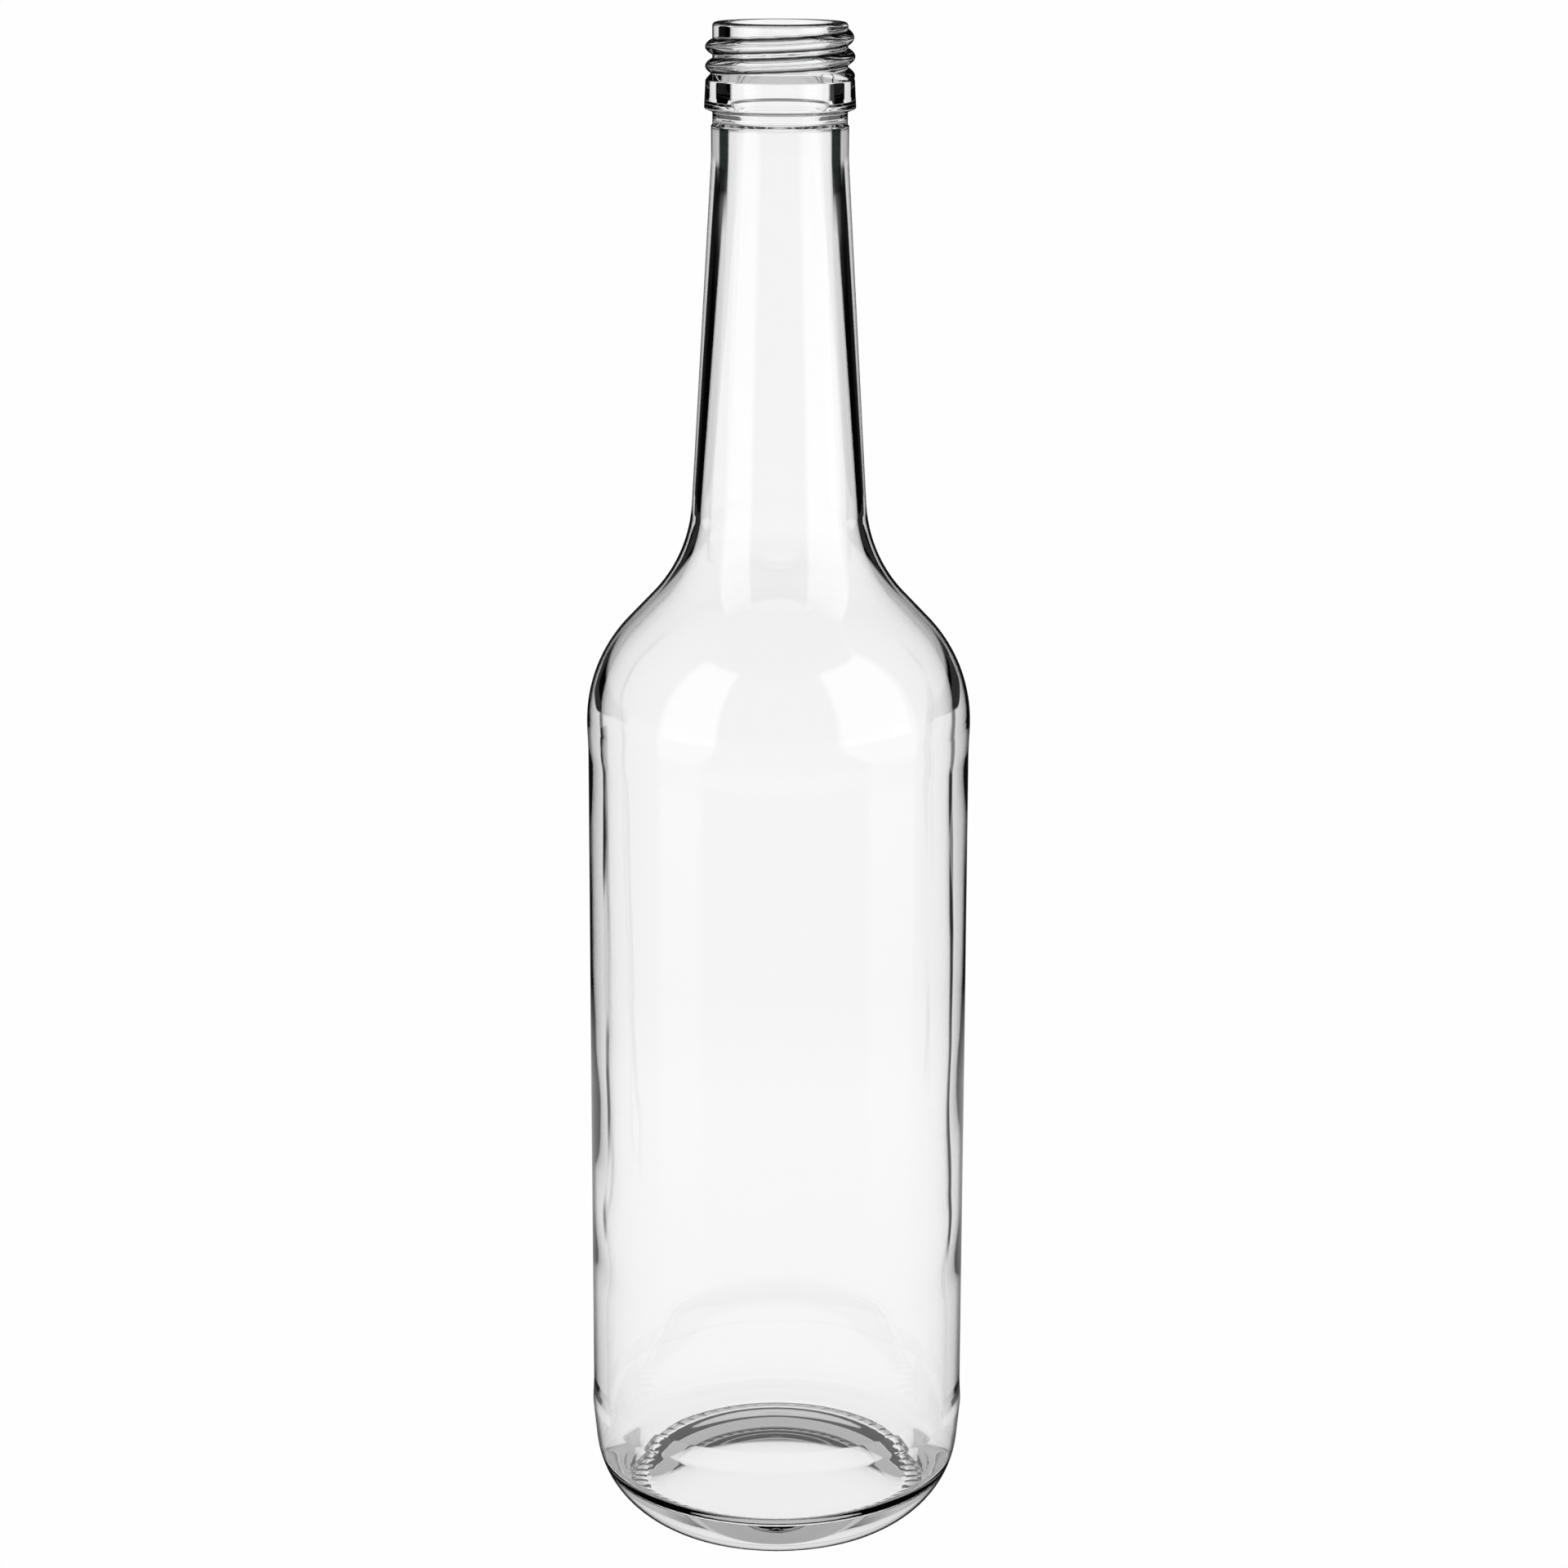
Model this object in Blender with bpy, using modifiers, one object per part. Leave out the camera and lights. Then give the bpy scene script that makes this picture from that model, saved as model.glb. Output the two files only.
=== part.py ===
"""Round clear glass bottle with a long tapering neck and a screw finish.

Run with: blender --background --python part.py
All driving dimensions are in millimetres; the model itself is in metres, +Z up,
standing on its bearing ring with the origin in the middle of its base.
"""

import math

import bmesh
import bpy

MM = 0.001

# Outside of the bottle, from the rim down
HEIGHT = 296.0
RIM_RADIUS = 12.6
RIM_EDGE = 0.7
BEAD_RADIUS = 14.17
BEAD_TOP_RADIUS = 13.9
BEAD_TOP_Z = 285.5
BEAD_SHOULDER_Z = 287.0
BEAD_BOTTOM_Z = 280.3
BEAD_ROUND = 0.4
COLLAR_RADIUS = 12.62
COLLAR_TOP_Z = 279.65
COLLAR_BOTTOM_Z = 277.3
SEAM_STEP = 0.2
NECK_RADIUS = 12.88
NECK_TAPER_Z = 270.7
NECK_ROUND = 40.0
SHOULDER_TOP_RADIUS = 17.3
SHOULDER_TOP_Z = 195.4
SHOULDER_FILLET = 28.5
SHOULDER_Z = 174.5
SHOULDER_ROUND = 28.0
SHOULDER_RING_RADIUS = 37.2
SHOULDER_RING_Z = 162.2
SHOULDER_RING_ROUND = 20.0
PANEL_TOP_RADIUS = 37.0
PANEL_TOP_Z = 160.0
PANEL_RADIUS = 37.2
PANEL_Z = 85.0
PANEL_BOTTOM_RADIUS = 37.28
PANEL_BOTTOM_Z = 25.5
BODY_RADIUS = 37.5
HEEL_RING_Z = 21.3
HEEL_RING_ROUND = 6.0
HEEL_RADIUS = 35.9
HEEL_Z = 4.65
HEEL_ROUND = 18.0
BEARING_OUTER = 28.0
BEARING_INNER = 25.8
BEARING_ROUND = 0.6
PUNT_Z = 5.5

# Inside of the bottle, from the rim down
BORE_RADIUS = 9.35
BORE_BOTTOM_Z = 280.5
BORE_ROUND = 5.0
THROAT_RADIUS = 8.4
THROAT_Z = 278.0
THROAT_ROUND = 0.9
NECK_INSIDE_RADIUS = 9.6
NECK_INSIDE_Z = 276.7
NECK_INSIDE_ROUND = 1.0
SHOULDER_INSIDE_TOP_RADIUS = 15.85
SHOULDER_INSIDE_TOP_Z = 193.6
SHOULDER_INSIDE_RADIUS = 34.8
SHOULDER_INSIDE_Z = 173.4
SHOULDER_INSIDE_ROUND = 25.0
BODY_INSIDE_RADIUS = 34.3
BODY_INSIDE_Z = 150.0
FLOOR_CORNER_RADIUS = 34.6
FLOOR_CORNER_Z = 8.5
FLOOR_ROUND = 3.8
FLOOR_EDGE_RADIUS = 25.8
FLOOR_Z = 10.8

# Screw thread of the finish, right handed
THREAD_RADIUS = 13.95
THREAD_WIDTH = 2.9
THREAD_PITCH = 3.55
THREAD_CREST_Z = 293.3
THREAD_START = 50.0
THREAD_END = -790.0
THREAD_FADE = 85.0
THREAD_LEAST_SHARE = 0.25
THREAD_ROOT = 0.45

# Fineness of the turned shape
TURN_STEPS = 48
THREAD_STEPS_PER_TURN = 36
ARC_ERROR = 0.08
DOME_STEPS = 4
THREAD_SECTION_STEPS = 4
MERGE_DISTANCE = 0.00001

GLASS_COLOUR = (0.93, 0.95, 0.95, 1.0)
GLASS_ROUGHNESS = 0.02
GLASS_IOR = 1.52


def clear_scene():
    """Remove the objects that the file opens with."""
    for item in list(bpy.data.objects):
        bpy.data.objects.remove(item, do_unlink=True)


def make_collection(name):
    """Add a collection to the scene."""
    group = bpy.data.collections.new(name)
    bpy.context.scene.collection.children.link(group)
    return group


def glass_material():
    """Clear flint glass."""
    glass = bpy.data.materials.new("clear_flint_glass")
    glass.use_nodes = True
    shader = glass.node_tree.nodes["Principled BSDF"]
    shader.inputs["Base Color"].default_value = GLASS_COLOUR
    shader.inputs["Roughness"].default_value = GLASS_ROUGHNESS
    shader.inputs["Metallic"].default_value = 0.0
    shader.inputs["IOR"].default_value = GLASS_IOR
    shader.inputs["Transmission Weight"].default_value = 1.0
    return glass


def round_corner(before, corner, after, radius):
    """Points of the arc that rounds a corner of an outline, in the outline's order."""
    in_x, in_z = before[0] - corner[0], before[1] - corner[1]
    out_x, out_z = after[0] - corner[0], after[1] - corner[1]
    in_length, out_length = math.hypot(in_x, in_z), math.hypot(out_x, out_z)
    in_x, in_z = in_x / in_length, in_z / in_length
    out_x, out_z = out_x / out_length, out_z / out_length
    opening = math.acos(max(-1.0, min(1.0, in_x * out_x + in_z * out_z)))
    turn = math.pi - opening
    reach = radius * math.tan(turn / 2.0)
    start = (corner[0] + in_x * reach, corner[1] + in_z * reach)
    middle_x, middle_z = in_x + out_x, in_z + out_z
    middle_length = math.hypot(middle_x, middle_z)
    away = radius / math.sin(opening / 2.0)
    centre = (corner[0] + middle_x / middle_length * away, corner[1] + middle_z / middle_length * away)
    first = math.atan2(start[1] - centre[1], start[0] - centre[0])
    side = 1.0 if in_x * out_z - in_z * out_x < 0.0 else -1.0
    steps = math.ceil(turn / (2.0 * math.acos(1.0 - ARC_ERROR / max(radius, ARC_ERROR))))
    points = []
    for step in range(steps + 1):
        angle = first + side * turn * step / steps
        points.append((centre[0] + radius * math.cos(angle), centre[1] + radius * math.sin(angle)))
    return points


def rounded_outline(corners):
    """Outline through (radius, height, rounding) corners, with each rounding as an arc."""
    outline = []
    for index, (x, z, rounding) in enumerate(corners):
        if rounding == 0.0 or index in (0, len(corners) - 1):
            outline.append((x, z))
            continue
        outline.extend(round_corner(corners[index - 1], (x, z), corners[index + 1], rounding))
    return outline


def dome(edge_radius, edge_z, centre_z):
    """Points of a shallow dome, from its middle out to just before its edge."""
    points = []
    for step in range(DOME_STEPS):
        share = step / DOME_STEPS
        points.append((edge_radius * share, centre_z + (edge_z - centre_z) * share * share))
    return points


def inside_outline():
    """Inside of the bottle, from the middle of the floor up to the rim."""
    floor = dome(FLOOR_EDGE_RADIUS, FLOOR_CORNER_Z, FLOOR_Z)
    wall = rounded_outline([
        (FLOOR_EDGE_RADIUS, FLOOR_CORNER_Z, 0.0),
        (FLOOR_CORNER_RADIUS, FLOOR_CORNER_Z, FLOOR_ROUND),
        (BODY_INSIDE_RADIUS, BODY_INSIDE_Z, 0.0),
        (SHOULDER_INSIDE_RADIUS, SHOULDER_INSIDE_Z, SHOULDER_INSIDE_ROUND),
        (SHOULDER_INSIDE_TOP_RADIUS, SHOULDER_INSIDE_TOP_Z, SHOULDER_FILLET),
        (NECK_INSIDE_RADIUS, NECK_INSIDE_Z, NECK_INSIDE_ROUND),
        (THROAT_RADIUS, THROAT_Z, THROAT_ROUND),
        (BORE_RADIUS, BORE_BOTTOM_Z, BORE_ROUND),
        (BORE_RADIUS, HEIGHT, RIM_EDGE),
        (RIM_RADIUS, HEIGHT, 0.0),
    ])
    return floor + wall[:-1]


def outside_outline():
    """Outside of the bottle, from the rim down to the middle of the push-up."""
    punt = dome(BEARING_INNER, 0.0, PUNT_Z)
    wall = rounded_outline([
        (BORE_RADIUS, HEIGHT, 0.0),
        (RIM_RADIUS, HEIGHT, RIM_EDGE),
        (RIM_RADIUS, BEAD_SHOULDER_Z, BEAD_ROUND),
        (BEAD_TOP_RADIUS, BEAD_TOP_Z, BEAD_ROUND),
        (BEAD_RADIUS, BEAD_BOTTOM_Z, BEAD_ROUND),
        (COLLAR_RADIUS, COLLAR_TOP_Z, BEAD_ROUND),
        (COLLAR_RADIUS, COLLAR_BOTTOM_Z, 0.0),
        (NECK_RADIUS, COLLAR_BOTTOM_Z - SEAM_STEP, 0.0),
        (NECK_RADIUS, NECK_TAPER_Z, NECK_ROUND),
        (SHOULDER_TOP_RADIUS, SHOULDER_TOP_Z, SHOULDER_FILLET),
        (SHOULDER_RING_RADIUS, SHOULDER_Z, SHOULDER_ROUND),
        (SHOULDER_RING_RADIUS, SHOULDER_RING_Z, SHOULDER_RING_ROUND),
        (PANEL_TOP_RADIUS, PANEL_TOP_Z, SHOULDER_RING_ROUND),
        (PANEL_RADIUS, PANEL_Z, 0.0),
        (PANEL_BOTTOM_RADIUS, PANEL_BOTTOM_Z, HEEL_RING_ROUND),
        (BODY_RADIUS, HEEL_RING_Z, HEEL_RING_ROUND),
        (HEEL_RADIUS, HEEL_Z, HEEL_ROUND),
        (BEARING_OUTER, 0.0, 0.0),
        (BEARING_INNER, 0.0, BEARING_ROUND),
        (*punt.pop(), 0.0),
    ])
    return wall[1:] + punt[::-1]


def turned_object(name, outline, group):
    """Object whose closed profile is turned about the bottle's axis."""
    mesh = bpy.data.meshes.new(name)
    points = [(x * MM, 0.0, z * MM) for x, z in outline]
    edges = [(index, index + 1) for index in range(len(points) - 1)]
    mesh.from_pydata(points, edges, [])
    item = bpy.data.objects.new(name, mesh)
    group.objects.link(item)
    turn = item.modifiers.new("turn", "SCREW")
    turn.axis = "Z"
    turn.angle = math.tau
    turn.steps = TURN_STEPS
    turn.render_steps = TURN_STEPS
    turn.use_merge_vertices = True
    turn.merge_threshold = MERGE_DISTANCE
    turn.use_smooth_shade = True
    return item


def thread_height(angle):
    """Share of the thread's full height at an angle along it, in degrees."""
    from_start = (THREAD_START - angle) / THREAD_FADE
    from_end = (angle - THREAD_END) / THREAD_FADE
    share = max(0.0, min(1.0, from_start, from_end))
    return math.sin(share * math.pi / 2.0)


def thread_ridge(group):
    """Ridge of the screw thread: its cross-section swept by a Screw modifier, tapered at both ends."""
    crest = THREAD_RADIUS - RIM_RADIUS
    section = [(-THREAD_ROOT, -THREAD_WIDTH / 2.0)]
    for step in range(THREAD_SECTION_STEPS + 1):
        angle = math.pi * step / THREAD_SECTION_STEPS
        section.append((crest * math.sin(angle), -THREAD_WIDTH / 2.0 * math.cos(angle)))
    section.append((-THREAD_ROOT, THREAD_WIDTH / 2.0))
    turns = (THREAD_START - THREAD_END) / 360.0
    end_z = THREAD_CREST_Z + THREAD_PITCH * THREAD_END / 360.0
    mesh = bpy.data.meshes.new("thread_section")
    points = [((RIM_RADIUS + x) * MM, 0.0, (end_z + z) * MM) for x, z in section]
    edges = [(index, (index + 1) % len(points)) for index in range(len(points))]
    mesh.from_pydata(points, edges, [])
    guide = bpy.data.objects.new("thread_section", mesh)
    group.objects.link(guide)
    sweep = guide.modifiers.new("sweep", "SCREW")
    sweep.axis = "Z"
    sweep.angle = turns * math.tau
    sweep.screw_offset = turns * THREAD_PITCH * MM
    sweep.steps = round(turns * THREAD_STEPS_PER_TURN)
    sweep.render_steps = sweep.steps
    sweep.use_merge_vertices = False
    bpy.context.view_layer.update()
    swept = bpy.data.meshes.new_from_object(guide.evaluated_get(bpy.context.evaluated_depsgraph_get()))
    bpy.data.objects.remove(guide, do_unlink=True)
    taper_thread(swept, len(section), sweep_steps=round(turns * THREAD_STEPS_PER_TURN))
    ridge = bpy.data.objects.new("thread_ridge", swept)
    ridge.rotation_euler.z = math.radians(THREAD_END)
    ridge.hide_render = True
    ridge.display_type = "WIRE"
    group.objects.link(ridge)
    return ridge


def taper_thread(mesh, section_count, sweep_steps):
    """Lower the ridge towards its two ends and close them."""
    bend = bmesh.new()
    bend.from_mesh(mesh)
    bend.verts.ensure_lookup_table()
    for index, vert in enumerate(bend.verts):
        along = (index // section_count) / sweep_steps
        angle = THREAD_END + (THREAD_START - THREAD_END) * along
        radius = math.hypot(vert.co.x, vert.co.y)
        above = radius - (RIM_RADIUS - THREAD_ROOT) * MM
        lowered = (RIM_RADIUS - THREAD_ROOT) * MM + above * max(THREAD_LEAST_SHARE, thread_height(angle))
        vert.co.x *= lowered / radius
        vert.co.y *= lowered / radius
    bmesh.ops.holes_fill(bend, edges=[edge for edge in bend.edges if edge.is_boundary], sides=0)
    bmesh.ops.recalc_face_normals(bend, faces=bend.faces)
    bend.to_mesh(mesh)
    bend.free()


def build():
    """Make the bottle: one turned glass body with the screw thread joined on."""
    clear_scene()
    bottle_group = make_collection("round_glass_bottle")
    guide_group = make_collection("guides")
    bottle = turned_object("bottle", inside_outline() + outside_outline(), bottle_group)
    bottle.data.materials.append(glass_material())
    ridge = thread_ridge(guide_group)
    join = bottle.modifiers.new("thread", "BOOLEAN")
    join.operation = "UNION"
    join.solver = "EXACT"
    join.object = ridge


build()
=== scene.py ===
"""Round clear glass bottle: its fine glass shell, its studio and its camera."""

import math

import bpy
import numpy as np
from mathutils import Matrix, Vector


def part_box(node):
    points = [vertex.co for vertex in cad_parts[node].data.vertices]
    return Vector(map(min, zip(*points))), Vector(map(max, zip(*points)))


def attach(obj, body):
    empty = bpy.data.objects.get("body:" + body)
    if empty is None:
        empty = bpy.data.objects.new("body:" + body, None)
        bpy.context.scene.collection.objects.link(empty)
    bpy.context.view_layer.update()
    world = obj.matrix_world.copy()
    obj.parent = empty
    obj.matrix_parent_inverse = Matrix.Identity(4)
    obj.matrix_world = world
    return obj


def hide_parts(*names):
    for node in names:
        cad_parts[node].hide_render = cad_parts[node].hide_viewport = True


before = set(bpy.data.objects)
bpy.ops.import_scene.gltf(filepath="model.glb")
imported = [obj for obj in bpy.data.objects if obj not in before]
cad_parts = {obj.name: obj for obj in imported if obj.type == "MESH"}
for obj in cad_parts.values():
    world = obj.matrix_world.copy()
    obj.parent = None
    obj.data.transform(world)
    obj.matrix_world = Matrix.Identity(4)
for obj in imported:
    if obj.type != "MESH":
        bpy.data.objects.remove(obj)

bl_info = {
    "name": "Round glass bottle",
    "version": (1, 0, 0),
    "blender": (4, 5, 0),
    "location": "3D View > Sidebar > Glass bottle",
    "description": "Blows, threads and lights a tall round bottle of clear glass",
    "category": "Object",
}

MM = 0.001
CAD_LOW, CAD_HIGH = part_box("bottle")
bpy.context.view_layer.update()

# Finish of the neck, in millimetres
RIM_RADIUS = 12.6
RIM_MIDDLE = 11.0
RIM_EDGE = 0.7
FINISH_LEAST_RADIUS = 12.0
BEAD_TOP_RADIUS = 13.9
BEAD_RADIUS = 14.17
BEAD_SHOULDER_Z = 287.0
BEAD_TOP_Z = 285.5
BEAD_BOTTOM_Z = 280.3
BEAD_ROUND = 0.4
BEAD_LOWER_ROUND = 0.35
COLLAR_RADIUS = 12.62
COLLAR_TOP_Z = 279.65
COLLAR_BOTTOM_Z = 277.3
COLLAR_ROUND = 0.3
SEAM_STEP = 0.2
SEAM_ROUND = 0.06

# Outside of the neck, the shoulder and the body
NECK_RADIUS = 12.88
NECK_TAPER_Z = 270.7
NECK_ROUND = 40.0
SHOULDER_TOP_RADIUS = 17.3
SHOULDER_TOP_Z = 195.4
SHOULDER_FILLET = 28.5
SHOULDER_Z = 174.5
SHOULDER_ROUND = 28.0
SHOULDER_RING_INSET = 0.3
SHOULDER_RING_Z = 162.2
SHOULDER_RING_ROUND = 45.0
PANEL_TOP_INSET = 0.5
PANEL_TOP_Z = 157.5
PANEL_INSET = 0.3
PANEL_Z = 85.0
PANEL_BOTTOM_INSET = 0.22
PANEL_BOTTOM_Z = 25.5
PANEL_ROUND = 6.0
HEEL_RING_Z = 21.3
HEEL_INSET = 1.6
HEEL_Z = 4.65
HEEL_ROUND = 18.0
BEARING_OUTER = 28.0
BEARING_OUTER_ROUND = 1.5
BEARING_INNER = 25.8
BEARING_INNER_ROUND = 0.6
PUNT_Z = 5.5

# Inside of the bottle
BORE_RADIUS = 9.35
BORE_BOTTOM_Z = 280.5
BORE_ROUND = 5.0
THROAT_RADIUS = 8.4
THROAT_Z = 278.0
THROAT_ROUND = 0.9
NECK_INSIDE_RADIUS = 9.6
NECK_INSIDE_Z = 276.7
NECK_INSIDE_ROUND = 1.0
SHOULDER_INSIDE_TOP_RADIUS = 15.85
SHOULDER_INSIDE_TOP_Z = 193.6
SHOULDER_INSIDE_RADIUS = 34.8
SHOULDER_INSIDE_Z = 173.4
SHOULDER_INSIDE_ROUND = 25.0
BODY_INSIDE_RADIUS = 34.3
BODY_INSIDE_Z = 150.0
BODY_INSIDE_ROUND = 600.0
FLOOR_CORNER_RADIUS = 34.6
FLOOR_CORNER_Z = 8.5
FLOOR_ROUND = 3.8
FLOOR_EDGE_RADIUS = 25.8
FLOOR_EDGE_Z = 8.5
FLOOR_EDGE_ROUND = 1.0
FLOOR_Z = 10.8

# Screw thread, right handed; angles in degrees from +X, counter-clockwise
THREAD_WIDTH = 2.9
THREAD_PITCH = 3.55
THREAD_CREST_Z = 293.3
THREAD_START = 50.0
THREAD_END = -790.0
THREAD_FADE = 85.0
THREAD_ROUNDNESS = 0.38
THREAD_TURNS = range(-2, 2)
THREAD_TOP_FADE = (294.9, 295.6)

# Knurls under the bearing ring
KNURL_INNER = 25.8
KNURL_INNER_FADE = 0.4
KNURL_OUTER = 27.9
KNURL_OUTER_FADE = 0.5
KNURL_DEPTH = 0.35
KNURL_FULLNESS = 0.7
KNURL_TOP_Z = 3.0

# Waves of the blown inside wall, each at a height and over a reach above and below it. A lean makes
# the wall thicker from front to back, and a shift moves its inside outwards.
LEFT_LEANS = (
    {"size": 0.35, "height": 101.0, "reach": 17.0},
    {"size": 0.65, "height": 85.0, "reach": 17.0},
    {"size": 0.6, "height": 58.0, "reach": 10.0},
)
RIGHT_LEANS = (
    {"size": 0.65, "height": 103.0, "reach": 24.0},
    {"size": 0.3, "height": 90.0, "reach": 16.0},
    {"size": 0.55, "height": 58.0, "reach": 10.0},
)
LEFT_SHIFTS = (
    {"size": -0.3, "height": 130.0, "reach": 40.0},
    {"size": -0.5, "height": 85.0, "reach": 50.0},
)
RIGHT_SHIFTS = (
    {"size": 0.1, "height": 90.0, "reach": 30.0},
    {"size": -0.5, "height": 146.0, "reach": 50.0},
)
SIDE_NARROWNESS = 3

# Painted shade in the glass colour, where its walls are seen edge-on, on the steep flanks of the
# finish and under the collar, and the heights where it comes and goes
EDGE_LIGHTER = (
    {"size": 0.3, "height": 38.0, "reach": 34.0},
    {"size": 0.4, "height": 152.0, "reach": 18.0},
)
NECK_LIGHTER = 0.6
NECK_LIGHTER_RISE = (195.0, 225.0)
NECK_LIGHTER_FALL = (270.0, 277.0)
WALL_DARKNESS = 0.25
WALL_DARK_RISE = (62.0, 72.0)
WALL_DARK_FALL = (150.0, 165.0)
FLOOR_DARKNESS = 0.45
FLOOR_DARK_FALL = (10.0, 12.5)
FLANK_DARK_RISE = (279.0, 280.0)
THROAT_DARK_RISE = (257.0, 266.0)
THROAT_DARK_FALL = (277.0, 277.4)
PAINTED_EDGE_SHADE_FACING = (0.76, 0.86)
FLANK_EDGES = (0.45, 0.8)
THROAT_EDGES = (0.33, 0.53)
THROAT_SOFT = 0.015

# Ripples of the fire-polished skin, in millimetres
RIPPLE_LENGTH = 14.0
RIPPLE_HEIGHT = 0.1
RIPPLE_STRENGTH = 0.15

# Fineness of the mesh
TURN_STEPS = 256
SHARP_ROUNDING = 3.0
ARC_STEP = math.radians(9.0)
ARC_LENGTH = 1.2
SUPPORT = 0.12
DOME_STEPS = 14
INSIDE_STEP = 2.0
OUTSIDE_STEP = 4.0
THREAD_STEP = 0.2
KNURL_STEP = 0.3
KNURL_MARGIN = 0.5
WELD_DISTANCE = 0.002

# Camera, fitted to the photograph's perspective
CAMERA_DISTANCE = 0.6784
CAMERA_HEIGHT = 0.3303
CAMERA_TILT = math.radians(14.87)
CAMERA_ROLL = math.radians(0.15)
CAMERA_LENS = 82.5
CAMERA_SENSOR = 36.0
CAMERA_SHIFT = 0.0036
CAMERA_NEAR = 0.01
CAMERA_FAR = 50.0

# Light of the studio; heights above the horizon, and ways from the viewer round to either side
SHEET_WHITE = 0.99
ROOM_LIGHT = 0.01
SWEEP_TOP = (math.radians(45.0), math.radians(65.0))
SWEEP_TOP_LIGHT = 0.35
SWEEP_QUARTERS = 4.0
SWEEP_QUARTER_EDGES = (0.25, 0.55)
SWEEP_LEFT_OVER = 0.25
AHEAD_EDGES = (-0.2, 0.5)
AHEAD_LIGHT = 0.9
UPWARD_RISE = (math.radians(-1.5), math.radians(1.5))
UPWARD_LIGHT = 0.6
LOW_RIM_LIGHT = 0.5
LOW_RIM_TOP = (math.radians(-19.5), math.radians(-18.0))
LOW_RIM_BOTTOM = (math.radians(-24.5), math.radians(-21.0))

# Two tall softboxes in front
LEFT_BOX = (math.radians(47.0), math.radians(76.0))
LEFT_BOX_LEAN = math.radians(9.0)
RIGHT_BOX = (math.radians(56.0), math.radians(90.0))
RIGHT_BOX_LEAN = math.radians(18.0)
BOX_LEAN_RISE = (math.radians(-15.4), math.radians(-6.0))
BOX_LOW_RISE = (math.radians(-25.0), math.radians(-13.0))
BOX_LOW_POWER = 1.5
BOX_TOP = math.radians(55.0)
BOX_SOFT = math.radians(1.5)

# Floor, in metres
FLOOR_RADIUS = 1.5
FLOOR_SIDES = 96
FLOOR_LEFT_OVER = 0.45
# Painted contact shadow: a darker ring in the floor's glow round the foot
PAINTED_CONTACT_SHADOW_RING = (0.0265, 0.0285)
PAINTED_CONTACT_SHADOW_SOFT = 0.0006
PAINTED_CONTACT_SHADOW = 0.5

# Dark cards on the floor behind the bottle, left and right: how far away in metres, how dark, and
# between which ways light meets them straight through the wall and after a turn inside it
CARD_ORIGIN = 0.034
CARD_SOFT = math.radians(1.0)
REACH_SOFT = 0.02
WIDE_STRAIGHT = (math.radians(26.5), math.radians(39.5))
WIDE_TURNED = (math.radians(38.0), math.radians(49.5))
NARROW_STRAIGHT = (math.radians(29.0), math.radians(39.5))
NARROW_TURNED = (math.radians(38.0), math.radians(44.0))
LEFT_CARDS = (
    {"reach": (0.145, 0.235), "dark": 0.9, "straight": NARROW_STRAIGHT, "turned": NARROW_TURNED},
    {"reach": (0.2, 0.33), "dark": 0.15, "straight": WIDE_STRAIGHT, "turned": WIDE_TURNED},
    {"reach": (0.32, 0.48), "dark": 1.0, "straight": WIDE_STRAIGHT, "turned": WIDE_TURNED},
    {"reach": (0.46, 0.78), "dark": 0.8, "straight": NARROW_STRAIGHT, "turned": NARROW_TURNED},
)
RIGHT_CARDS = (
    {"reach": (0.1, 0.38), "dark": 1.0, "straight": WIDE_STRAIGHT, "turned": NARROW_TURNED},
    {"reach": (0.36, 0.78), "dark": 0.75, "straight": NARROW_STRAIGHT, "turned": NARROW_TURNED},
)

# Large card on each side further away, which only turned light meets; it starts narrow
FAR_CARD = (math.radians(19.0), math.radians(60.0))
FAR_RISE = (0.66, 0.7)
FAR_WIDE = 0.85
FAR_LAG = math.radians(14.0)

# How often light has turned inside the glass, or passed its skin, is counted in whole numbers
ONCE = 0.5
TWICE = 1.5
OFTEN = 2.5

# Settings of the shader nodes
PLUS = {"operation": "ADD"}
MINUS = {"operation": "SUBTRACT"}
TIMES = {"operation": "MULTIPLY"}
POWER = {"operation": "POWER"}
LARGER = {"operation": "MAXIMUM"}
SMALLER = {"operation": "MINIMUM"}
ABOVE = {"operation": "GREATER_THAN"}
BELOW = {"operation": "LESS_THAN"}
UNSIGNED = {"operation": "ABSOLUTE"}
COSINE = {"operation": "COSINE"}
ARC_SINE = {"operation": "ARCSINE"}
WAY = {"operation": "ARCTAN2"}
SMOOTH = {"interpolation_type": "SMOOTHSTEP"}
NUMBERS = {"data_type": "FLOAT"}
COLOURS = {"data_type": "RGBA"}


def linear(hex_colour):
    """Linear RGBA of an sRGB hex colour."""
    channels = [int(hex_colour[place:place + 2], 16) / 255.0 for place in (1, 3, 5)]
    return tuple(c / 12.92 if c <= 0.04045 else ((c + 0.055) / 1.055) ** 2.4 for c in channels) + (1.0,)


def add_node(tree, kind, settings=None, inputs=None):
    """Add a shader node, set its properties, and set or link its inputs.

    An input is called by its name or place. A node given for it stands for its first open output.
    """
    node = tree.nodes.new(kind)
    for name, value in (settings or {}).items():
        setattr(node, name, value)
    for name, value in (inputs or {}).items():
        if isinstance(value, bpy.types.Node):
            value = next(output for output in value.outputs if output.enabled)
        if isinstance(value, bpy.types.NodeSocket):
            tree.links.new(value, node.inputs[name])
        else:
            node.inputs[name].default_value = value
    return node


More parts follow.
